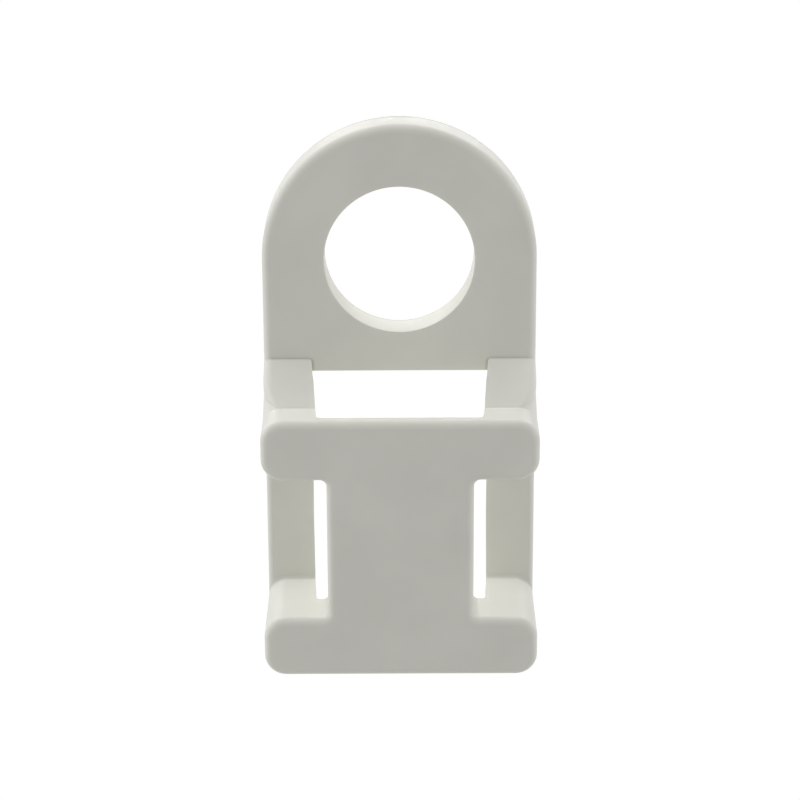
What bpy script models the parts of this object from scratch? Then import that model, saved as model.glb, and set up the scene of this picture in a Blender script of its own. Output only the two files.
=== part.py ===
"""Cable tie mount moulded in one piece: a screw eyelet and a bridged saddle that a tie threads under.

Frame: +X across the mount, +Y towards the eyelet, +Z away from the surface that carries the mount.
The origin is at the middle of the outline, in the seating plane. All sizes are in metres.
"""

import math

import bmesh
import bpy
import numpy as np

MM = 0.001

# Cable tie that the passages are made for
TIE_WIDTH = 4.8 * MM
TIE_SIDE_CLEARANCE = 0.16 * MM
TIE_THICKNESS = 1.3 * MM
TIE_LIFT_CLEARANCE = 0.55 * MM

# Base plate: the eyelet, the two rails and the window between them
BASE_THICKNESS = 1.35 * MM
SCREW_HOLE_DIAMETER = 5.2 * MM
HOLE_EDGE_RADIUS = 0.03 * MM
WINDOW_WIDTH = 6.12 * MM
RAIL_WIDTH = 1.69 * MM
EYELET_EDGE_RADIUS = 0.3 * MM
RAIL_EDGE_RADIUS = 0.2 * MM
HEAD_CORE_DRAFT = math.radians(4.2)
FOOT_CORE_DRAFT = math.radians(2.8)
CORE_CORNER_RADIUS = 0.15 * MM

# Ramps that carry the head of the saddle, and the tongue of the plate between their feet
HOLE_TO_RAMP = 3.58 * MM
TONGUE_LENGTH = 0.44 * MM
RAMP_RUN = 1.05 * MM
RAMP_FOOT_RADIUS = 0.09 * MM
RAMP_TOP_EDGE_DROP = 2.3 * MM
RAMP_WIDENING = 4
SHUT_OFF_STEP = 0.02 * MM

# Saddle: an I shaped plate that bridges the window
SADDLE_THICKNESS = 1.8 * MM
HEAD_DEPTH = 2.15 * MM
FOOT_DEPTH = 2.16 * MM
SHOULDER_DROP = 1.47 * MM
LIP_THICKNESS = 0.52 * MM
STEM_GAP = 0.54 * MM
SADDLE_CORNER_RADIUS = 0.75 * MM
NOTCH_CORNER_RADIUS = 0.24 * MM
SADDLE_EDGE_RADIUS = 0.27 * MM
COVE_RADIUS = 0.15 * MM

# Hidden overlaps of shapes that are joined, and how far a cutter runs past the surface it opens
OVERLAP = 0.1 * MM
CUT_PAST = 0.5 * MM

# Facets
ARCH_SEGMENTS = 36
HOLE_SEGMENTS = 80
CORNER_SEGMENTS = 8
NOTCH_SEGMENTS = 5
EDGE_SEGMENTS = 6
LEAD_SEGMENTS = 14
RAMP_SEGMENTS = 10
BURIED_SEGMENTS = 5
HOLE_EDGE_SEGMENTS = 3
SMOOTH_ANGLE = math.radians(22.0)
FLAT_ANGLE = math.radians(0.01)

# Moulded natural nylon
NYLON_COLOUR = (0.66, 0.66, 0.60, 1.0)
NYLON_ROUGHNESS = 0.38
NYLON_METALLIC = 0.0

# Widths
HALF_WIDTH = WINDOW_WIDTH / 2 + RAIL_WIDTH
HALF_WINDOW = WINDOW_WIDTH / 2
HALF_STEM = HALF_WINDOW - STEM_GAP

# Stations along the length, from the eyelet's end to the foot
NOTCH_LENGTH = TIE_WIDTH + 2 * TIE_SIDE_CLEARANCE
SADDLE_LENGTH = HEAD_DEPTH + NOTCH_LENGTH + FOOT_DEPTH
MOUNT_LENGTH = HALF_WIDTH + HOLE_TO_RAMP + RAMP_RUN + SADDLE_LENGTH
ARCH_TOP_Y = MOUNT_LENGTH / 2
HOLE_Y = ARCH_TOP_Y - HALF_WIDTH
RAMP_Y = HOLE_Y - HOLE_TO_RAMP
WINDOW_Y = RAMP_Y - TONGUE_LENGTH
HEAD_Y = RAMP_Y - RAMP_RUN
NOTCH_TOP_Y = HEAD_Y - HEAD_DEPTH
LEDGE_Y = NOTCH_TOP_Y - NOTCH_LENGTH
FOOT_Y = LEDGE_Y - FOOT_DEPTH

# Heights above the seating plane
PASSAGE_TOP_Z = BASE_THICKNESS + TIE_THICKNESS + TIE_LIFT_CLEARANCE
SADDLE_Z = PASSAGE_TOP_Z + SADDLE_THICKNESS
SHOULDER_Z = SADDLE_Z - SHOULDER_DROP
LIP_Z = SADDLE_Z - LIP_THICKNESS
RAMP_SLOPE = (SHOULDER_Z - BASE_THICKNESS) / RAMP_RUN


def clear_scene():
    """Removes every object that the file holds."""
    for item in list(bpy.data.objects):
        bpy.data.objects.remove(item, do_unlink=True)


def nylon_material():
    """The off-white moulding material of the mount."""
    material = bpy.data.materials.new("natural_nylon")
    material.use_nodes = True
    shader = material.node_tree.nodes["Principled BSDF"]
    shader.inputs["Base Color"].default_value = NYLON_COLOUR
    shader.inputs["Roughness"].default_value = NYLON_ROUGHNESS
    shader.inputs["Metallic"].default_value = NYLON_METALLIC
    material.diffuse_color = NYLON_COLOUR
    return material


def loft(name, rings):
    """A closed solid through rings of equally many points, with a flat cap on the first and the last."""
    shape = bmesh.new()
    loops = [[shape.verts.new(point) for point in ring] for ring in rings]
    for lower, upper in zip(loops, loops[1:]):
        for start in range(len(lower)):
            after = (start + 1) % len(lower)
            shape.faces.new((lower[start], lower[after], upper[after], upper[start]))
    shape.faces.new(loops[0][::-1])
    shape.faces.new(loops[-1])
    bmesh.ops.connect_verts_nonplanar(shape, angle_limit=FLAT_ANGLE, faces=shape.faces)
    bmesh.ops.recalc_face_normals(shape, faces=shape.faces)
    mesh = bpy.data.meshes.new(name)
    shape.to_mesh(mesh)
    shape.free()
    mesh.shade_smooth()
    mesh.set_sharp_from_angle(angle=SMOOTH_ANGLE)
    item = bpy.data.objects.new(name, mesh)
    bpy.context.scene.collection.objects.link(item)
    return item


def rounded_outline(corners):
    """Points, outward normals and tags of an anticlockwise outline with its corners rounded.

    A corner is (x, y, radius, segments, tag). One without a radius is a plain point on a straight side.
    """
    points, normals, tags = [], [], []
    places = np.array([corner[:2] for corner in corners])
    for index, (_, _, radius, segments, tag) in enumerate(corners):
        here = places[index]
        ahead = places[(index + 1) % len(corners)] - here
        behind = here - places[index - 1]
        ahead = ahead / np.linalg.norm(ahead)
        behind = behind / np.linalg.norm(behind)
        first = np.array([behind[1], -behind[0]])
        last = np.array([ahead[1], -ahead[0]])
        if radius == 0:
            points.append(here)
            normals.append(first)
            tags.append(tag)
            continue
        turn = math.atan2(behind[0] * ahead[1] - behind[1] * ahead[0], behind @ ahead)
        side = math.copysign(1.0, turn)
        reach = radius * math.tan(abs(turn) / 2)
        centre = here - behind * reach - side * radius * first
        for step in range(segments + 1):
            bearing = math.atan2(first[1], first[0]) + turn * step / segments
            normal = np.array([math.cos(bearing), math.sin(bearing)])
            points.append(centre + side * radius * normal)
            normals.append(normal)
            tags.append(tag)
        assert np.allclose(normals[-1], last, atol=1e-6)
    points, normals, tags = np.array(points), np.array(normals), np.array(tags)
    distinct = np.linalg.norm(points - np.roll(points, 1, axis=0), axis=1) > OVERLAP / 100
    return points[distinct], normals[distinct], tags[distinct]


def at_height(points, heights):
    """A ring of plan points at the given height, or at a height for each point."""
    return np.column_stack([points, np.broadcast_to(heights, len(points))])


def quarter(segments):
    """Angles from 0 to 90 degrees that step round an edge."""
    return np.linspace(0.0, math.pi / 2, segments + 1)


def base_plate():
    """Eyelet and rails: an arch-ended plate whose upper edge is rounded. Its foot end lies in the saddle."""
    buried_end = FOOT_Y + FOOT_DEPTH / 2
    hidden_y = (HEAD_Y + NOTCH_TOP_Y) / 2
    corners = [
        (-HALF_WIDTH, buried_end, RAIL_EDGE_RADIUS * 2, 2, RAIL_EDGE_RADIUS),
        (HALF_WIDTH, buried_end, RAIL_EDGE_RADIUS * 2, 2, RAIL_EDGE_RADIUS),
        (HALF_WIDTH, hidden_y, 0, 0, RAIL_EDGE_RADIUS),
        (HALF_WIDTH, HEAD_Y, 0, 0, EYELET_EDGE_RADIUS),
        (HALF_WIDTH, ARCH_TOP_Y, HALF_WIDTH, ARCH_SEGMENTS, EYELET_EDGE_RADIUS),
        (-HALF_WIDTH, ARCH_TOP_Y, HALF_WIDTH, ARCH_SEGMENTS, EYELET_EDGE_RADIUS),
        (-HALF_WIDTH, HEAD_Y, 0, 0, EYELET_EDGE_RADIUS),
        (-HALF_WIDTH, hidden_y, 0, 0, RAIL_EDGE_RADIUS),
    ]
    points, normals, edge_radii = rounded_outline(corners)
    rings = [at_height(points, 0.0)]
    for angle in quarter(EDGE_SEGMENTS):
        inset = points - normals * (edge_radii * (1 - math.cos(angle)))[:, None]
        rings.append(at_height(inset, BASE_THICKNESS - edge_radii * (1 - math.sin(angle))))
    return loft("mount_body", rings)


def saddle_corners():
    """Corners of the I outline. The tag is 1 where a bar's face meets the rails in a cove."""
    cove_start = (HALF_STEM + NOTCH_CORNER_RADIUS + HALF_WINDOW) / 2
    right = [
        (HALF_WIDTH, FOOT_Y, SADDLE_CORNER_RADIUS, CORNER_SEGMENTS, 0),
        (HALF_WIDTH, LEDGE_Y, SADDLE_CORNER_RADIUS, CORNER_SEGMENTS, 1),
        (cove_start, LEDGE_Y, 0, 0, 1),
        (HALF_STEM, LEDGE_Y, NOTCH_CORNER_RADIUS, NOTCH_SEGMENTS, 0),
        (HALF_STEM, NOTCH_TOP_Y, NOTCH_CORNER_RADIUS, NOTCH_SEGMENTS, 0),
        (cove_start, NOTCH_TOP_Y, 0, 0, 1),
        (HALF_WIDTH, NOTCH_TOP_Y, SADDLE_CORNER_RADIUS, CORNER_SEGMENTS, 1),
        (HALF_WIDTH, HEAD_Y, SADDLE_CORNER_RADIUS, CORNER_SEGMENTS, 0),
    ]
    left = [(-x, y, radius, segments, tag) for x, y, radius, segments, tag in reversed(right)]
    return right + left


def saddle_block():
    """The I plate carried down to the seating plane, with coves at the rails and a rounded front edge."""
    points, normals, coved = rounded_outline(saddle_corners())

    def flared(spread):
        """The outline with its coved faces moved out, no wider than the flat of the rails."""
        moved = points + normals * (spread * coved)[:, None]
        flat = np.maximum(np.abs(points[:, 0]), HALF_WIDTH - RAIL_EDGE_RADIUS)
        moved[:, 0] = np.clip(moved[:, 0], -flat, flat)
        return moved

    rings = [at_height(flared(COVE_RADIUS), 0.0)]
    for angle in quarter(EDGE_SEGMENTS):
        spread = COVE_RADIUS * (1 - math.sin(angle))
        rings.append(at_height(flared(spread), BASE_THICKNESS + COVE_RADIUS * (1 - math.cos(angle))))
    for angle in quarter(EDGE_SEGMENTS):
        inset = points - normals * SADDLE_EDGE_RADIUS * (1 - math.cos(angle))
        rings.append(at_height(inset, SADDLE_Z - SADDLE_EDGE_RADIUS * (1 - math.sin(angle))))
    return loft("saddle_block", rings)


def ramp_section(y, inner_foot, inner_lean, side):
    """Section of a ramp across the mount.

    Its outer edge starts as the round of the eyelet's edge, and widens by a power of the climb into the
    saddle's corner. The slope runs on inside the saddle, so that it meets that corner all the way round.
    """
    top = BASE_THICKNESS + (RAMP_Y - y) * RAMP_SLOPE
    widened = np.clip((RAMP_Y - y) / RAMP_RUN, 0.0, 1.0) ** RAMP_WIDENING
    width = EYELET_EDGE_RADIUS + widened * (SADDLE_CORNER_RADIUS - EYELET_EDGE_RADIUS)
    foot_drop = EYELET_EDGE_RADIUS * math.hypot(1.0, RAMP_SLOPE)
    drop = foot_drop + widened * (RAMP_TOP_EDGE_DROP - foot_drop)
    angles = quarter(CORNER_SEGMENTS)[::-1]
    outer_x = HALF_WIDTH - width * (1 - np.cos(angles))
    outer_z = top - drop * (1 - np.sin(angles))
    inner_x = inner_foot + np.array([OVERLAP - BASE_THICKNESS, top - BASE_THICKNESS]) * inner_lean
    across = np.concatenate([inner_x, outer_x, [HALF_WIDTH]])
    highest = SADDLE_Z - SADDLE_EDGE_RADIUS - OVERLAP
    heights = np.minimum(np.concatenate([[OVERLAP, top], outer_z, [OVERLAP]]), highest)
    return np.column_stack([side * across, np.full(len(across), y), heights])


def ramp(name, side):
    """One ramp, from inside the base plate up to the saddle's head. Its inner foot is rounded in plan."""
    lean = -math.tan(HEAD_CORE_DRAFT)
    buried_y = HEAD_Y - SADDLE_CORNER_RADIUS - OVERLAP
    trimmed = HALF_WINDOW - STEM_GAP
    throat = HALF_WINDOW + SHUT_OFF_STEP
    wide = throat + RAMP_FOOT_RADIUS
    rings = [ramp_section(RAMP_Y + OVERLAP, wide, lean, side)]
    for angle in quarter(NOTCH_SEGMENTS):
        foot = wide - RAMP_FOOT_RADIUS * math.sin(angle)
        back = RAMP_FOOT_RADIUS * (1 - math.cos(angle))
        rings.append(ramp_section(RAMP_Y - back, foot, lean, side))
    rings.append(ramp_section(WINDOW_Y - OVERLAP / 2, throat, lean, side))
    rising = np.linspace(WINDOW_Y - OVERLAP, HEAD_Y, RAMP_SEGMENTS)
    buried = np.linspace(HEAD_Y, buried_y, BURIED_SEGMENTS)
    for y in np.concatenate([rising, buried[1:]]):
        rings.append(ramp_section(y, trimmed, 0.0, side))
    return loft(name, rings)


def passage_section(y, ceiling, draft):
    """Section of the core across the mount: drafted sides and a rounded ceiling."""
    def half_width(z):
        """Half the core's width at a height: it narrows away from the seating plane."""
        return HALF_WINDOW + (BASE_THICKNESS - z) * math.tan(draft)

    spring = ceiling - CORE_CORNER_RADIUS
    angles = quarter(NOTCH_SEGMENTS)
    across = half_width(spring) - CORE_CORNER_RADIUS * (1 - np.cos(angles))
    heights = spring + CORE_CORNER_RADIUS * np.sin(angles)
    across = np.concatenate([[half_width(-CUT_PAST)], across])
    heights = np.concatenate([[-CUT_PAST], heights])
    across = np.concatenate([across, -across[::-1]])
    heights = np.concatenate([heights, heights[::-1]])
    return np.column_stack([across, np.full(len(across), y), heights])


def passage_core():
    """Core of the window and the tie passage. Its ceiling curves up under the head to the lip."""
    rise = LIP_Z - PASSAGE_TOP_Z
    radius = (HEAD_DEPTH**2 + rise**2) / (2 * rise)
    sweep = math.atan2(HEAD_DEPTH, radius - rise)
    rings = [passage_section(y, PASSAGE_TOP_Z, FOOT_CORE_DRAFT) for y in (FOOT_Y - CUT_PAST, LEDGE_Y)]
    for angle in np.linspace(0.0, sweep, LEAD_SEGMENTS + 1):
        y = NOTCH_TOP_Y + radius * math.sin(angle)
        rings.append(passage_section(y, PASSAGE_TOP_Z + radius * (1 - math.cos(angle)), HEAD_CORE_DRAFT))
    past_lip = WINDOW_Y - HEAD_Y
    rings.append(passage_section(WINDOW_Y, LIP_Z + past_lip * math.tan(sweep), HEAD_CORE_DRAFT))
    return loft("passage_core", rings)


def screw_hole():
    """Cutter of the screw hole, with its two edges rounded."""
    bearings = np.linspace(0.0, 2 * math.pi, HOLE_SEGMENTS, endpoint=False)
    circle = np.column_stack([np.cos(bearings), np.sin(bearings)])
    radius = SCREW_HOLE_DIAMETER / 2
    profile = [(radius + HOLE_EDGE_RADIUS, -CUT_PAST)]
    for angle in quarter(HOLE_EDGE_SEGMENTS)[::-1]:
        across = radius + HOLE_EDGE_RADIUS * (1 - math.cos(angle))
        profile.append((across, HOLE_EDGE_RADIUS * (1 - math.sin(angle))))
    for angle in quarter(HOLE_EDGE_SEGMENTS):
        across = radius + HOLE_EDGE_RADIUS * (1 - math.cos(angle))
        profile.append((across, BASE_THICKNESS - HOLE_EDGE_RADIUS * (1 - math.sin(angle))))
    profile.append((radius + HOLE_EDGE_RADIUS, BASE_THICKNESS + CUT_PAST))
    rings = [at_height(circle * across + [0.0, HOLE_Y], height) for across, height in profile]
    return loft("screw_hole", rings)


def combine(body, helper, operation, solver):
    """Joins a helper shape to the body, or cuts it from the body, and hides the helper.

    Shapes whose walls lie in the same plane as the body's are joined by the MANIFOLD solver.
    """
    modifier = body.modifiers.new(helper.name, "BOOLEAN")
    modifier.operation = operation
    modifier.solver = solver
    modifier.object = helper
    helper.hide_render = True
    helper.display_type = "WIRE"
    helper.parent = body


def main():
    """Builds the mount."""
    clear_scene()
    body = base_plate()
    body.data.materials.append(nylon_material())
    combine(body, saddle_block(), "UNION", "EXACT")
    combine(body, ramp("right_ramp", 1), "UNION", "MANIFOLD")
    combine(body, ramp("left_ramp", -1), "UNION", "MANIFOLD")
    combine(body, passage_core(), "DIFFERENCE", "EXACT")
    combine(body, screw_hole(), "DIFFERENCE", "EXACT")


main()
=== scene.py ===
"""Looks of a cable tie mount moulded in one piece from natural nylon, on a pale studio floor.

The moulding is worked out as surfaces on grids: outlines with round corners, carried up through rounded
edges, ramps and cores as sections carried along the mount, and a turned screw hole. They are joined and cut
as the halves and cores of its mould would shape it, and every edge that is left sharp gets the small round of
a mould. Frame: +X across the mount, +Y towards the eyelet, +Z away from the surface that carries it. Sizes
are in metres.
"""

import logging
import math
from dataclasses import dataclass, field
from enum import Enum

import bmesh
import bpy
import numpy as np
from mathutils import Matrix, Vector


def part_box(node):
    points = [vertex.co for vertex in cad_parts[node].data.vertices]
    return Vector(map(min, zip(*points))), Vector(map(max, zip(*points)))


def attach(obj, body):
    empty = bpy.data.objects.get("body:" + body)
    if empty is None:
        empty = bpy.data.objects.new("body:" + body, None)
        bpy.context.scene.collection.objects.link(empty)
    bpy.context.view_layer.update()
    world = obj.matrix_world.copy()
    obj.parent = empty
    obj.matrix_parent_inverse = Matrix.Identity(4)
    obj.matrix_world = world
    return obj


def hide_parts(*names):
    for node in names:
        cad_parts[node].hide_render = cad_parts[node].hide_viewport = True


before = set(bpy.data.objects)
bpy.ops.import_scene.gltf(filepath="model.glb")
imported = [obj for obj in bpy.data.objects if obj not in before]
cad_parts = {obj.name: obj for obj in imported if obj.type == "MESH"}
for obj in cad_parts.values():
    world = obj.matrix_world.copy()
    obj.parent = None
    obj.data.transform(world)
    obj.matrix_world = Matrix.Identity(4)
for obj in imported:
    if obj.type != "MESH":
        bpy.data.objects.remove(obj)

LOG = logging.getLogger("cable_tie_mount")
CAD_NODE = "mount_body"
MM = 0.001
SAME_PLACE = MM / 1000

Nodes = bpy.types.NodeTree
Socket = bpy.types.NodeSocket
Colour = tuple[float, float, float]
Span = tuple[float, float]


class Side(Enum):
    """The two sides of the mount, as signs of x."""

    LEFT = -1
    RIGHT = 1


class Step(Enum):
    """How a shape acts on the moulding."""

    JOIN = "UNION"
    CUT = "DIFFERENCE"


@dataclass(frozen=True)
class Corner:
    """A corner of an outline: its place, its round, the steps of that, and a tag that its points carry."""

    x: float
    y: float
    radius: float = 0.0
    steps: int = 0
    tag: float = 0.0

    def mirrored(self) -> "Corner":
        """Gives the same corner on the other side of the mount."""
        return Corner(-self.x, self.y, self.radius, self.steps, self.tag)


@dataclass(frozen=True)
class Outline:
    """Plan points of a closed outline, anticlockwise, with their outward normals and tags."""

    points: np.ndarray
    normals: np.ndarray
    tags: np.ndarray


def quarter(steps: int) -> np.ndarray:
    """Gives the angles from 0 to 90 degrees that step round an edge.

    Args:
        steps: How many equal steps to take.

    Returns:
        The steps + 1 angles, in radians.
    """
    return np.linspace(0.0, math.pi / 2, steps + 1)


def rounded(corners: list[Corner]) -> Outline:
    """Rounds the corners of a polygon.

    Each corner's arc is tangent to both sides: its centre lies back along the incoming side by the radius
    times the tangent of half the turn, and one radius to the side that the outline turns to. A corner without
    a radius is a plain point on a straight side.

    Args:
        corners: The corners, anticlockwise.

    Returns:
        The outline, with coincident points left out.
    """
    places = np.array([(corner.x, corner.y) for corner in corners])
    points, normals, tags = [], [], []
    for index, corner in enumerate(corners):
        behind = places[index] - places[index - 1]
        ahead = places[(index + 1) % len(corners)] - places[index]
        behind, ahead = behind / np.linalg.norm(behind), ahead / np.linalg.norm(ahead)
        first = np.array([behind[1], -behind[0]])
        turn = math.atan2(behind[0] * ahead[1] - behind[1] * ahead[0], float(behind @ ahead))
        side = math.copysign(1.0, turn) if corner.radius else 0.0
        reach = corner.radius * math.tan(abs(turn) / 2)
        centre = places[index] - behind * reach - side * corner.radius * first
        bearings = math.atan2(first[1], first[0]) + turn * np.linspace(0.0, 1.0, corner.steps + 1)
        turned = np.column_stack([np.cos(bearings), np.sin(bearings)])
        points.append(centre + side * corner.radius * turned)
        normals.append(turned)
        tags.append(np.full(len(turned), corner.tag))
    together = np.concatenate(points)
    apart = np.linalg.norm(together - np.roll(together, 1, axis=0), axis=1) > SAME_PLACE
    return Outline(together[apart], np.concatenate(normals)[apart], np.concatenate(tags)[apart])


def carried_up(outline: Outline, insets: np.ndarray, heights: np.ndarray) -> np.ndarray:
    """Carries an outline upwards as a stack of rings.

    A point of ring i is the outline's point less its normal times inset i, at height i.

    Args:
        outline: The plan outline.
        insets: How far each ring is drawn in, as (rings, 1) or (rings, points).
        heights: The height of each ring, in the same form.

    Returns:
        The grid of points, (rings, points, 3).
    """
    insets = np.broadcast_to(insets, (len(insets), len(outline.points)))
    plan = outline.points[None] - outline.normals[None] * insets[..., None]
    return np.concatenate([plan, np.broadcast_to(heights, insets.shape)[..., None]], axis=2)


def closed_surface(name: str, grid: np.ndarray) -> bpy.types.Object:
    """Makes a closed mesh of a grid whose rows are rings, with a flat cap on the first and last ring.

    Args:
        name: The name of the new object.
        grid: Points of the surface, (rings, points, 3).

    Returns:
        The new object, linked to the scene, with its faces pointing outwards.
    """
    rings, count = grid.shape[:2]
    here = (np.arange(rings - 1)[:, None] * count + np.arange(count)[None]).ravel()
    after = (np.arange(rings - 1)[:, None] * count + np.roll(np.arange(count), -1)[None]).ravel()
    lower = np.column_stack([here, after, after + count])
    upper = np.column_stack([here, after + count, here + count])
    caps = [np.arange(count)[::-1].tolist(), (np.arange(count) + (rings - 1) * count).tolist()]
    mesh = bpy.data.meshes.new(name)
    mesh.from_pydata(grid.reshape(-1, 3).tolist(), [], lower.tolist() + upper.tolist() + caps)
    shape = bmesh.new()
    shape.from_mesh(mesh)
    bmesh.ops.recalc_face_normals(shape, faces=shape.faces)
    shape.to_mesh(mesh)
    shape.free()
    piece = bpy.data.objects.new(name, mesh)
    bpy.context.scene.collection.objects.link(piece)
    return piece


def combined(body: bpy.types.Object, tool: bpy.types.Object, step: Step) -> None:
    """Joins a shape to the body or cuts it from the body, and removes the shape.

    Args:
        body: The object whose mesh is changed.
        tool: The closed shape that acts on it.
        step: Whether the shape is joined or cut.
    """
    modifier = body.modifiers.new(tool.name, "BOOLEAN")
    modifier.operation = step.value
    modifier.solver = "EXACT"
    modifier.object = tool
    bpy.context.view_layer.update()
    graph = bpy.context.evaluated_depsgraph_get()
    made = bpy.data.meshes.new_from_object(body.evaluated_get(graph))
    body.modifiers.clear()
    body.data = made
    bpy.data.objects.remove(tool)


def mapped(tree: Nodes, value: Socket, span: Span, target: Span) -> Socket:
    """Adds a node that maps one range of a value to another and holds it inside that.

    Args:
        tree: The material's nodes.
        value: The value's socket.
        span: The ends of the range that is mapped.
        target: What those ends become.

    Returns:
        The mapped value's socket.
    """
    node = tree.nodes.new("ShaderNodeMapRange")
    for name, number in zip(("From Min", "From Max", "To Min", "To Max"), span + target):
        node.inputs[name].default_value = number
    tree.links.new(value, node.inputs["Value"])
    return node.outputs["Result"]


def blended(tree: Nodes, share: Socket, first: Colour, second: Colour | Socket) -> Socket:
    """Adds a node that blends two colours.

    Args:
        tree: The material's nodes.
        share: The socket that says how much of the second colour shows, from 0 to 1.
        first: The colour where the share is 0.
        second: The colour where the share is 1, or its socket.

    Returns:
        The blended colour's socket.
    """
    node = tree.nodes.new("ShaderNodeMix")
    node.data_type = "RGBA"
    sockets = {socket.identifier: socket for socket in node.inputs}
    tree.links.new(share, sockets["Factor_Float"])
    sockets["A_Color"].default_value = (*first, 1.0)
    if isinstance(second, tuple):
        sockets["B_Color"].default_value = (*second, 1.0)
    else:
        tree.links.new(second, sockets["B_Color"])
    return next(socket for socket in node.outputs if socket.identifier == "Result_Color")


def seen_apart(tree: Nodes, lit: Socket, seen: Socket) -> Socket:
    """Adds a node that gives the camera one shader and the light in the scene another.

    Args:
        tree: The nodes of the material or the world.
        lit: The shader that the scene's light meets.
        seen: The shader that the camera sees.

    Returns:
        The socket of the two together.
    """
    mix = tree.nodes.new("ShaderNodeMixShader")
    path = tree.nodes.new("ShaderNodeLightPath")
    tree.links.new(path.outputs["Is Camera Ray"], mix.inputs["Fac"])
    for slot, shader in enumerate((lit, seen), start=1):
        tree.links.new(shader, mix.inputs[slot])
    return mix.outputs["Shader"]


@dataclass(frozen=True)
class Fineness:
    """How many steps the round stretches and the ramps' climb take."""

    arch: int = 72
    hole: int = 144
    corner: int = 14
    notch: int = 8
    edge: int = 9
    rim: int = 4
    lead: int = 24
    climb: int = 18


@dataclass(frozen=True)
class Stations:
    """Places along the mount and above its seat, and the sizes that more than one shape reads.

    The frame's box gives the first four. Cutters go past what they cut by one length, and joined shapes
    overlap by another.
    """

    half_width: float
    arch_top: float
    foot: float
    saddle_top: float
    base_top: float = 1.35 * MM
    half_window: float = 3.06 * MM
    half_stem: float = 2.52 * MM
    saddle_length: float = 9.43 * MM
    head_depth: float = 2.15 * MM
    foot_depth: float = 2.16 * MM
    ramp_run: float = 1.05 * MM
    tongue: float = 0.44 * MM
    corner: float = 0.75 * MM
    rail_edge: float = 0.2 * MM
    head_draft: float = math.radians(4.2)
    past: float = 0.5 * MM
    overlap: float = 0.1 * MM

    @property
    def hole(self) -> float:
        """Middle of the screw hole, which the arch goes round."""
        return self.arch_top - self.half_width

    @property
    def head(self) -> float:
        """Face of the saddle's head, towards the eyelet."""
        return self.foot + self.saddle_length

    @property
    def notch_top(self) -> float:
        """End of the tie notches, at the head."""
        return self.head - self.head_depth

    @property
    def ledge(self) -> float:
        """End of the tie notches, at the foot bar."""
        return self.foot + self.foot_depth

    @property
    def ramp(self) -> float:
        """Foot of the ramps, on the eyelet's face."""
        return self.head + self.ramp_run

    @property
    def window(self) -> float:
        """End of the window, where the plate's tongue stops."""
        return self.ramp - self.tongue


@dataclass(frozen=True)
class BasePlate:
    """Eyelet and rails: one plate with a rounded upper edge, an arch at one end and the other end hidden."""

    at: Stations
    fine: Fineness
    eyelet_edge: float = 0.3 * MM
    hidden_corner: float = 0.4 * MM
    hidden_steps: int = 2

    def surface(self) -> np.ndarray:
        """Works the plate out: the outline drawn in by r(1 - cos a) at r(1 - sin a) below the upper face.

        Returns:
            The plate's grid of points.
        """
        half = self.at.half_width
        inside_foot = (self.at.foot + self.at.ledge) / 2
        inside_head = (self.at.head + self.at.notch_top) / 2
        right = [
            Corner(half, inside_foot, self.hidden_corner, self.hidden_steps, self.at.rail_edge),
            Corner(half, inside_head, tag=self.at.rail_edge),
            Corner(half, self.at.head, tag=self.eyelet_edge),
            Corner(half, self.at.arch_top, half, self.fine.arch, self.eyelet_edge),
        ]
        outline = rounded(right + [corner.mirrored() for corner in reversed(right)])
        angles = quarter(self.fine.edge)[:, None]
        insets = outline.tags * (1 - np.cos(angles))
        heights = self.at.base_top - outline.tags * (1 - np.sin(angles))
        insets = np.concatenate([insets[:1], insets])
        heights = np.concatenate([np.zeros_like(heights[:1]), heights])
        return carried_up(outline, insets, heights)


@dataclass(frozen=True)
class Saddle:
    """The I shaped saddle, carried down to the seat, with coves on the rails and a rounded front edge."""

    at: Stations
    fine: Fineness
    notch_corner: float = 0.24 * MM
    front_edge: float = 0.27 * MM
    cove: float = 0.15 * MM

    def outline(self) -> Outline:
        """Rounds the I: wide at the head and the foot, narrow at the stem.

        Returns:
            The outline, tagged 1 where a bar's face runs into the rails through a cove.
        """
        half, at = self.at.half_width, self.at
        start = (at.half_stem + self.notch_corner + at.half_window) / 2
        big, small = (at.corner, self.fine.corner), (self.notch_corner, self.fine.notch)
        right = [
            Corner(half, at.foot, *big),
            Corner(half, at.ledge, *big, 1.0),
            Corner(start, at.ledge, tag=1.0),
            Corner(at.half_stem, at.ledge, *small),
            Corner(at.half_stem, at.notch_top, *small),
            Corner(start, at.notch_top, tag=1.0),
            Corner(half, at.notch_top, *big, 1.0),
            Corner(half, at.head, *big),
        ]
        return rounded(right + [corner.mirrored() for corner in reversed(right)])

    def surface(self) -> np.ndarray:
        """Works the block out.

        The coves draw the tagged faces out by r(1 - sin a) at r(1 - cos a) above the rails, no wider than
        the rails' flat. The front edge draws every face in by r(1 - cos a) at r(1 - sin a) below the front.

        Returns:
            The block's grid of points.
        """
        outline = self.outline()
        angles = quarter(self.fine.edge)[:, None]
        spreads = np.concatenate([[[self.cove]], self.cove * (1 - np.sin(angles))])
        low = np.concatenate([[[0.0]], self.at.base_top + self.cove * (1 - np.cos(angles))])
        coves = carried_up(outline, -spreads * outline.tags, low)
        flat = np.maximum(np.abs(outline.points[:, 0]), self.at.half_width - self.at.rail_edge)
        coves[..., 0] = np.clip(coves[..., 0], -flat, flat)
        drawn_in = self.front_edge * (1 - np.cos(angles))
        high = self.at.saddle_top - self.front_edge * (1 - np.sin(angles))
        return np.concatenate([coves, carried_up(outline, drawn_in, high)])


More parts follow.
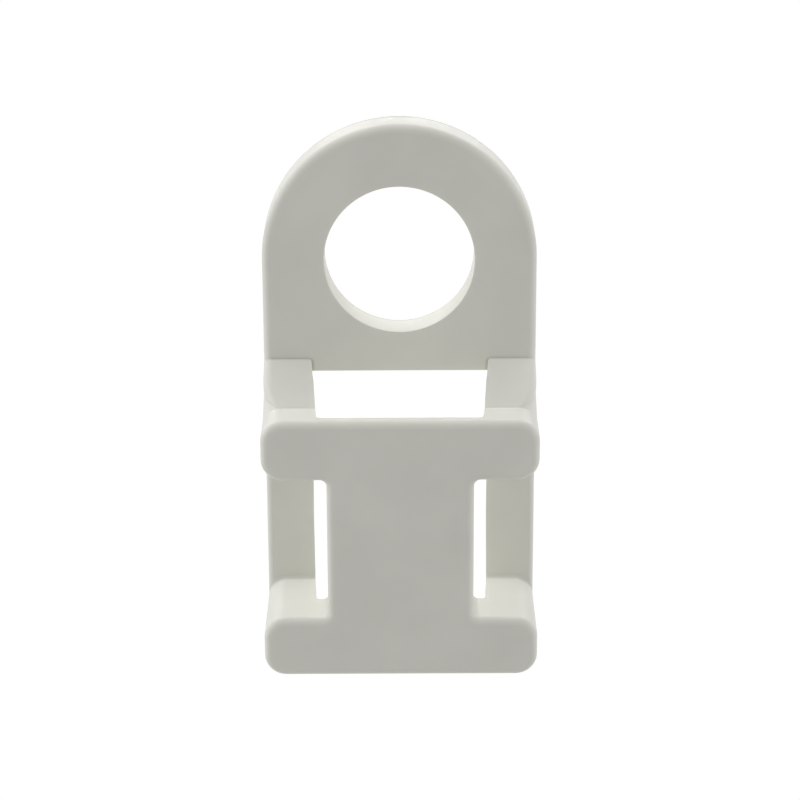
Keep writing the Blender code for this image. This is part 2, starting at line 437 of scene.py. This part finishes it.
@dataclass(frozen=True)
class Ramp:
    """One ramp up to the saddle's head, with a rounded inner foot and an outer edge that widens as it climbs.

    Its shoulder is the height at which it meets the head. Past that it runs on, buried in the head.
    """

    at: Stations
    fine: Fineness
    side: Side
    shoulder: float = 3.53 * MM
    edge_low: float = 0.3 * MM
    drop_high: float = 2.3 * MM
    widening: float = 4.0
    buried: float = 0.85 * MM
    below_front: float = 0.37 * MM
    foot_corner: float = 0.09 * MM
    shut_off: float = 0.02 * MM

    def stations(self) -> tuple[np.ndarray, np.ndarray, np.ndarray]:
        """Lists the ramp's sections, from its foot to its end in the head.

        From the end of the window on, the inner side goes further in than the core, which cuts it there.

        Returns:
            The sections' y, the x of their inner foot, and the lean of their inner side.
        """
        at = self.at
        angles = quarter(self.fine.notch)
        throat = at.half_window + self.shut_off
        round_y = at.ramp - self.foot_corner * (1 - np.cos(angles))
        round_x = throat + self.foot_corner * (1 - np.sin(angles))
        rising = np.linspace(at.window - at.overlap, at.head, self.fine.climb)
        ends = np.linspace(at.head, at.head - self.buried, self.fine.edge)[1:]
        start, turned = at.ramp + at.overlap, at.window - at.overlap / 2
        along = np.concatenate([[start], round_y, [turned], rising, ends])
        hidden = len(rising) + len(ends)
        inner = np.concatenate([round_x[:1], round_x, [throat], [at.half_stem] * hidden])
        lean = np.where(np.arange(len(along)) < len(along) - hidden, -math.tan(at.head_draft), 0.0)
        return along, inner, lean

    def surface(self) -> np.ndarray:
        """Works the ramp out as sections across the mount.

        The top climbs evenly, and runs on inside the head so that it meets the head's round corner. The
        outer edge is an ellipse that starts r wide and r times the slope's stretch high, and widens by a
        power of the climb into the head's corner. The inner side leans by the core's draft.

        Returns:
            The ramp's grid of points.
        """
        along, inner, lean = self.stations()
        slope = (self.shoulder - self.at.base_top) / self.at.ramp_run
        climb = (self.at.ramp - along)[:, None]
        top = self.at.base_top + climb * slope
        widened = np.clip(climb / self.at.ramp_run, 0.0, 1.0) ** self.widening
        width = self.edge_low + widened * (self.at.corner - self.edge_low)
        drop_low = self.edge_low * math.hypot(1.0, slope)
        drop = drop_low + widened * (self.drop_high - drop_low)
        angles = quarter(self.fine.corner)[::-1][None]
        outer = self.at.half_width - width * (1 - np.cos(angles))
        outer_z = top - drop * (1 - np.sin(angles))
        low = np.full_like(top, self.at.overlap)
        heights = np.concatenate([low, top, outer_z, low], axis=1)
        inner_x = inner[:, None] + (heights[:, :2] - self.at.base_top) * lean[:, None]
        heights = np.minimum(heights, self.at.saddle_top - self.below_front)
        across = np.concatenate([inner_x, outer, np.full_like(top, self.at.half_width)], axis=1)
        ys = np.broadcast_to(along[:, None], across.shape)
        return np.stack([self.side.value * across, ys, heights], axis=2)


@dataclass(frozen=True)
class PassageCore:
    """Core of the window and the tie passage: drafted sides, and a ceiling that curves up under the head."""

    at: Stations
    fine: Fineness
    ceiling: float = 3.2 * MM
    lip: float = 4.48 * MM
    foot_draft: float = math.radians(2.8)
    corner: float = 0.15 * MM

    def surface(self) -> np.ndarray:
        """Works the core out as sections across the mount.

        The ceiling is flat to the head, then an arc tangent to the flat that ends at the lip, then straight
        on. The arc's radius is (run squared + rise squared) / (2 rise).

        Returns:
            The core's grid of points.
        """
        at = self.at
        rise = self.lip - self.ceiling
        radius = (at.head_depth**2 + rise**2) / (2 * rise)
        sweep = math.atan2(at.head_depth, radius - rise)
        angles = np.linspace(0.0, sweep, self.fine.lead + 1)
        beyond = self.lip + (at.window - at.head) * math.tan(sweep)
        arc_y = at.notch_top + radius * np.sin(angles)
        arc_z = self.ceiling + radius * (1 - np.cos(angles))
        along = np.concatenate([[at.foot - at.past, at.ledge], arc_y, [at.window]])
        above = np.concatenate([[self.ceiling] * 2, arc_z, [beyond]])
        drafts = np.where(along <= at.ledge, self.foot_draft, at.head_draft)[:, None]
        bends = quarter(self.fine.notch)[None]
        spring = above[:, None] - self.corner
        below = np.full_like(spring, -at.past)
        heights = np.concatenate([below, spring + self.corner * np.sin(bends)], axis=1)
        straight = np.minimum(heights, spring)
        across = at.half_window + (at.base_top - straight) * np.tan(drafts)
        across[:, 1:] -= self.corner * (1 - np.cos(bends))
        across = np.concatenate([across, -across[:, ::-1]], axis=1)
        heights = np.concatenate([heights, heights[:, ::-1]], axis=1)
        return np.stack([across, np.broadcast_to(along[:, None], across.shape), heights], axis=2)


@dataclass(frozen=True)
class ScrewHole:
    """The round screw hole, whose two edges are rounded."""

    at: Stations
    fine: Fineness
    radius: float = 2.6 * MM
    edge: float = 0.03 * MM

    def surface(self) -> np.ndarray:
        """Turns the cutter's profile: radius R, opening by r(1 - cos a) at r(1 - sin a) from each face.

        Returns:
            The cutter's grid of points.
        """
        angles = quarter(self.fine.rim)
        opening = self.radius + self.edge * (1 - np.cos(angles))
        depth = self.edge * (1 - np.sin(angles))
        wide = [self.radius + self.edge]
        radii = np.concatenate([wide, opening[::-1], opening, wide])
        top = self.at.base_top
        heights = np.concatenate([[-self.at.past], depth[::-1], top - depth, [top + self.at.past]])
        turns = np.linspace(0.0, 2 * math.pi, self.fine.hole, endpoint=False)
        across = radii[:, None] * np.cos(turns)
        along = self.at.hole + radii[:, None] * np.sin(turns)
        return np.stack([across, along, np.broadcast_to(heights[:, None], across.shape)], axis=2)


@dataclass(frozen=True)
class NylonFinish:
    """Natural nylon as moulded: off-white, satin, a little translucent, with the mould's fine grain."""

    name: str = "natural_nylon"
    colour: Colour = (0.705, 0.702, 0.645)
    index: float = 1.53
    translucency: float = 0.12
    depth: float = 0.45 * MM
    depth_by_colour: Colour = (1.0, 0.95, 0.8)
    noise_middle: Span = (0.3, 0.7)
    mottle: float = 0.03
    mottle_size: float = 2.6 * MM
    mottle_layers: float = 3.0
    # Painted shade in the creases: how far it reaches, how dark it gets, the occlusion span it covers, and
    # its rays.
    painted_shade_reach: float = 0.13 * MM
    painted_shade_strength: float = 0.3
    painted_shade_openness: Span = (0.6, 0.97)
    painted_shade_rays: int = 8
    roughness: float = 0.36
    gloss_spread: float = 0.03
    gloss_size: float = 0.65 * MM
    gloss_layers: float = 2.0
    swell_size: float = 1.9 * MM
    swell_height: float = 0.004 * MM
    swell_layers: float = 1.0
    grain_size: float = 0.05 * MM
    grain_height: float = 0.0008 * MM
    grain_layers: float = 2.0

    def shade(self, factor: float) -> Colour:
        """Gives the nylon's colour made lighter or darker by a factor, and no lighter than white."""
        return tuple(min(part * factor, 1.0) for part in self.colour)

    def noise(self, tree: Nodes, size: float, layers: float) -> Socket:
        """Adds a noise over Object coordinates.

        Args:
            tree: The material's nodes.
            size: The size of the noise's spots, in metres.
            layers: How many finer layers it has.

        Returns:
            The noise's value socket.
        """
        place = tree.nodes.new("ShaderNodeTexCoord")
        noise = tree.nodes.new("ShaderNodeTexNoise")
        noise.inputs["Scale"].default_value = 1.0 / size
        noise.inputs["Detail"].default_value = layers
        tree.links.new(place.outputs["Object"], noise.inputs["Vector"])
        return noise.outputs["Fac"]

    def mottled(self, tree: Nodes) -> Socket:
        """Adds the nylon's colour, a little lighter and darker in soft spots.

        Args:
            tree: The material's nodes.

        Returns:
            The colour's socket.
        """
        noise = self.noise(tree, self.mottle_size, self.mottle_layers)
        spots = mapped(tree, noise, self.noise_middle, (0.0, 1.0))
        return blended(tree, spots, self.shade(1 - self.mottle), self.shade(1 + self.mottle))

    def painted_crease_shade(self, tree: Nodes, colour: Socket) -> Socket:
        """Paints shade into a colour in inner corners, darker where nearby surfaces close the corner in.

        Args:
            tree: The material's nodes.
            colour: The colour's socket.

        Returns:
            The socket of the colour with painted shade in its creases.
        """
        # Ambient occlusion darkens the base colour in inner corners: this is painted shade.
        occlusion = tree.nodes.new("ShaderNodeAmbientOcclusion")
        occlusion.samples = self.painted_shade_rays
        occlusion.inputs["Distance"].default_value = self.painted_shade_reach
        openness = mapped(tree, occlusion.outputs["AO"], self.painted_shade_openness, (0.0, 1.0))
        return blended(tree, openness, self.shade(1 - self.painted_shade_strength), colour)

    def gloss(self, tree: Nodes) -> Socket:
        """Adds a roughness that is uneven in small spots.

        Args:
            tree: The material's nodes.

        Returns:
            The roughness's socket.
        """
        noise = self.noise(tree, self.gloss_size, self.gloss_layers)
        spread = (self.roughness - self.gloss_spread, self.roughness + self.gloss_spread)
        return mapped(tree, noise, self.noise_middle, spread)

    def relief(self, tree: Nodes) -> Socket:
        """Adds the soft swell of the moulding and, over it, the fine grain of the mould.

        Args:
            tree: The material's nodes.

        Returns:
            The normal's socket.
        """
        swell = (self.swell_size, self.swell_height, self.swell_layers)
        grain = (self.grain_size, self.grain_height, self.grain_layers)
        normal = None
        for size, height, layers in (swell, grain):
            bump = tree.nodes.new("ShaderNodeBump")
            bump.inputs["Distance"].default_value = height
            tree.links.new(self.noise(tree, size, layers), bump.inputs["Height"])
            if normal:
                tree.links.new(normal, bump.inputs["Normal"])
            normal = bump.outputs["Normal"]
        return normal

    def material(self) -> bpy.types.Material:
        """Builds the material.

        Returns:
            A material with a mottled colour, painted shade in its creases, an uneven gloss, and two layers of
            relief.
        """
        material = bpy.data.materials.new(self.name)
        material.use_nodes = True
        tree = material.node_tree
        shader = tree.nodes["Principled BSDF"]
        shader.inputs["IOR"].default_value = self.index
        shader.inputs["Subsurface Weight"].default_value = self.translucency
        shader.inputs["Subsurface Radius"].default_value = self.depth_by_colour
        shader.inputs["Subsurface Scale"].default_value = self.depth
        # The base colour carries painted shade in the creases, over the mottle.
        tree.links.new(self.painted_crease_shade(tree, self.mottled(tree)), shader.inputs["Base Color"])
        tree.links.new(self.gloss(tree), shader.inputs["Roughness"])
        tree.links.new(self.relief(tree), shader.inputs["Normal"])
        return material


@dataclass(frozen=True)
class MouldedMount:
    """The whole moulding, as one piece."""

    at: Stations
    fine: Fineness = field(default_factory=Fineness)
    finish: NylonFinish = field(default_factory=NylonFinish)
    name: str = "moulded_mount"
    edge_round: float = 0.045 * MM
    edge_steps: int = 3
    edge_profile: float = 0.5
    sharp: float = math.radians(20.0)
    flat: float = math.radians(0.15)
    crisp: float = math.radians(35.0)
    face_weight: int = 100

    def round_edges(self, mesh: bpy.types.Mesh) -> None:
        """Merges what the joins left split, then rounds every edge that is still sharp.

        Args:
            mesh: The moulding's mesh, which is changed.
        """
        shape = bmesh.new()
        shape.from_mesh(mesh)
        bmesh.ops.remove_doubles(shape, verts=shape.verts, dist=SAME_PLACE)
        bmesh.ops.dissolve_limit(shape, angle_limit=self.flat, verts=shape.verts, edges=shape.edges)
        edges = [edge for edge in shape.edges if edge.calc_face_angle(0.0) > self.sharp]
        bmesh.ops.bevel(
            shape,
            geom=edges,
            offset=self.edge_round,
            offset_type="OFFSET",
            segments=self.edge_steps,
            profile=self.edge_profile,
            affect="EDGES",
            clamp_overlap=True,
            miter_outer="SHARP",
            miter_inner="SHARP",
        )
        bmesh.ops.recalc_face_normals(shape, faces=shape.faces)
        shape.to_mesh(mesh)
        shape.free()

    def build(self) -> bpy.types.Object:
        """Joins and cuts the shapes, finishes the edges and dresses the moulding.

        Returns:
            The finished piece, which rides on the root and stands for its solid.
        """
        piece = closed_surface(self.name, BasePlate(self.at, self.fine).surface())
        steps = [(Saddle(self.at, self.fine), Step.JOIN)]
        steps += [(Ramp(self.at, self.fine, side), Step.JOIN) for side in Side]
        steps += [(PassageCore(self.at, self.fine), Step.CUT), (ScrewHole(self.at, self.fine), Step.CUT)]
        for shape, step in steps:
            combined(piece, closed_surface(type(shape).__name__, shape.surface()), step)
        self.round_edges(piece.data)
        piece.data.shade_smooth()
        piece.data.set_sharp_from_angle(angle=self.crisp)
        normals = piece.modifiers.new("even_shading", "WEIGHTED_NORMAL")
        normals.keep_sharp = True
        normals.mode = "FACE_AREA"
        normals.weight = self.face_weight
        piece.data.materials.clear()
        piece.data.materials.append(self.finish.material())
        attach(piece, "root")
        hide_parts(CAD_NODE)
        return piece


@dataclass(frozen=True)
class Viewpoint:
    """The camera: where it looks, from how far, and how it is turned, as angles off the mount's front."""

    at: Stations
    below_hole: float = 5.605 * MM
    distance: float = 95.0 * MM
    tilt: float = math.radians(19.77)
    turn: float = math.radians(0.08)
    roll: float = math.radians(0.267)
    lens: float = 120.0
    sensor: float = 36.0
    clip: float = 100.0

    def place(self) -> bpy.types.Object:
        """Makes the camera and hands it to the scene.

        Returns:
            The camera.
        """
        data = bpy.data.cameras.new("camera")
        data.lens = self.lens
        data.sensor_width = self.sensor
        data.clip_start = self.distance / self.clip
        data.clip_end = self.distance * self.clip
        target = Vector((0.0, self.at.hole - self.below_hole, 0.0))
        level = math.cos(self.tilt)
        away = Vector((math.sin(self.turn) * level, math.sin(self.tilt), math.cos(self.turn) * level))
        across = Vector((math.cos(self.turn), 0.0, -math.sin(self.turn)))
        upward = away.cross(across)
        right = math.cos(self.roll) * across - math.sin(self.roll) * upward
        up = math.sin(self.roll) * across + math.cos(self.roll) * upward
        camera = bpy.data.objects.new("camera", data)
        turned = Matrix((right, up, away)).transposed().to_4x4()
        camera.matrix_world = Matrix.Translation(target + away * self.distance) @ turned
        bpy.context.scene.collection.objects.link(camera)
        bpy.context.scene.camera = camera
        return camera


@dataclass(frozen=True)
class Lamp:
    """One far soft lamp that only fills: it throws no shadow.

    Its light is drawn straight from the lamp alone. A chance ray towards a lamp below would end on the floor.
    """

    towards: tuple[float, float, float]
    strength: float
    spread: float = math.radians(60.0)

    def hang(self, name: str) -> bpy.types.Object:
        """Makes the lamp.

        Args:
            name: The lamp's name.

        Returns:
            The lamp, which shines from its direction on the whole scene.
        """
        data = bpy.data.lights.new(name, "SUN")
        data.energy = self.strength
        data.angle = self.spread
        data.use_shadow = False
        data.cycles.use_multiple_importance_sampling = False
        lamp = bpy.data.objects.new(name, data)
        lamp.rotation_euler = Vector(self.towards).to_track_quat("Z", "Y").to_euler()
        bpy.context.scene.collection.objects.link(lamp)
        return lamp


@dataclass(frozen=True)
class Studio:
    """Plain pale floor under a soft dome and a few fill lamps.

    The camera sees the floor and the dome white. The light that they give the mount is lower than that.
    """

    floor_size: float = 3.0
    floor_colour: float = 0.5
    glow: float = 0.55
    seen_colour: float = 0.25
    seen_glow: float = 0.86
    level: float = 0.538
    seen_level: float = 1.0
    lamps: tuple[Lamp, ...] = (
        Lamp(towards=(0.0, 0.5, -0.87), strength=0.53),
        Lamp(towards=(0.0, 1.0, 0.05), strength=0.40),
        Lamp(towards=(-0.7, 0.5, -0.5), strength=0.38),
        Lamp(towards=(-1.0, 0.0, 0.1), strength=0.62),
        Lamp(towards=(1.0, 0.0, 0.1), strength=0.42),
    )

    def paint(self, tree: Nodes, grey: float, glow: float) -> Socket:
        """Adds a matt grey that also glows.

        Args:
            tree: The floor material's nodes.
            grey: How pale the grey is, from 0 to 1.
            glow: The strength of the glow, where 1 is white.

        Returns:
            The paint's socket.
        """
        matt = tree.nodes.new("ShaderNodeBsdfDiffuse")
        matt.inputs["Color"].default_value = (grey, grey, grey, 1.0)
        light = tree.nodes.new("ShaderNodeEmission")
        light.inputs["Strength"].default_value = glow
        both = tree.nodes.new("ShaderNodeAddShader")
        tree.links.new(matt.outputs["BSDF"], both.inputs[0])
        tree.links.new(light.outputs["Emission"], both.inputs[1])
        return both.outputs["Shader"]

    def floor(self) -> bpy.types.Object:
        """Lays the floor in the mount's seating plane.

        Returns:
            The floor, which is part of the stage.
        """
        half = self.floor_size / 2
        corners = [(-half, -half, 0.0), (half, -half, 0.0), (half, half, 0.0), (-half, half, 0.0)]
        mesh = bpy.data.meshes.new("floor")
        mesh.from_pydata(corners, [], [range(len(corners))])
        material = bpy.data.materials.new("pale_floor")
        material.use_nodes = True
        tree = material.node_tree
        tree.nodes.clear()
        out = tree.nodes.new("ShaderNodeOutputMaterial")
        lit = self.paint(tree, self.floor_colour, self.glow)
        seen = self.paint(tree, self.seen_colour, self.seen_glow)
        tree.links.new(seen_apart(tree, lit, seen), out.inputs["Surface"])
        mesh.materials.append(material)
        floor = bpy.data.objects.new("floor", mesh)
        bpy.context.scene.collection.objects.link(floor)
        return floor

    def dome(self) -> None:
        """Lights the scene evenly from all round, with a dome that is white when seen straight."""
        world = bpy.data.worlds.new("soft_dome")
        world.use_nodes = True
        bpy.context.scene.world = world
        tree = world.node_tree
        tree.nodes.clear()
        out = tree.nodes.new("ShaderNodeOutputWorld")
        skies = []
        for strength in (self.level, self.seen_level):
            sky = tree.nodes.new("ShaderNodeBackground")
            sky.inputs["Color"].default_value = (1.0, 1.0, 1.0, 1.0)
            sky.inputs["Strength"].default_value = strength
            skies.append(sky.outputs["Background"])
        tree.links.new(seen_apart(tree, *skies), out.inputs["Surface"])


def main() -> None:
    logging.basicConfig(level=logging.INFO, format="%(name)s: %(message)s")
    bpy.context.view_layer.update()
    low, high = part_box(CAD_NODE)
    at = Stations(half_width=high.x, arch_top=high.y, foot=low.y, saddle_top=high.z)
    mount = MouldedMount(at).build()
    LOG.info("%s: %d faces", mount.name, len(mount.data.polygons))
    studio = Studio()
    LOG.info("%s: part of the stage", studio.floor().name)
    studio.dome()
    for number, lamp in enumerate(studio.lamps):
        LOG.info("%s: lit", lamp.hang(f"fill_lamp_{number}").name)
    Viewpoint(at).place()
    bpy.context.scene.view_settings.view_transform = "Standard"


if __name__ == "__main__":
    main()
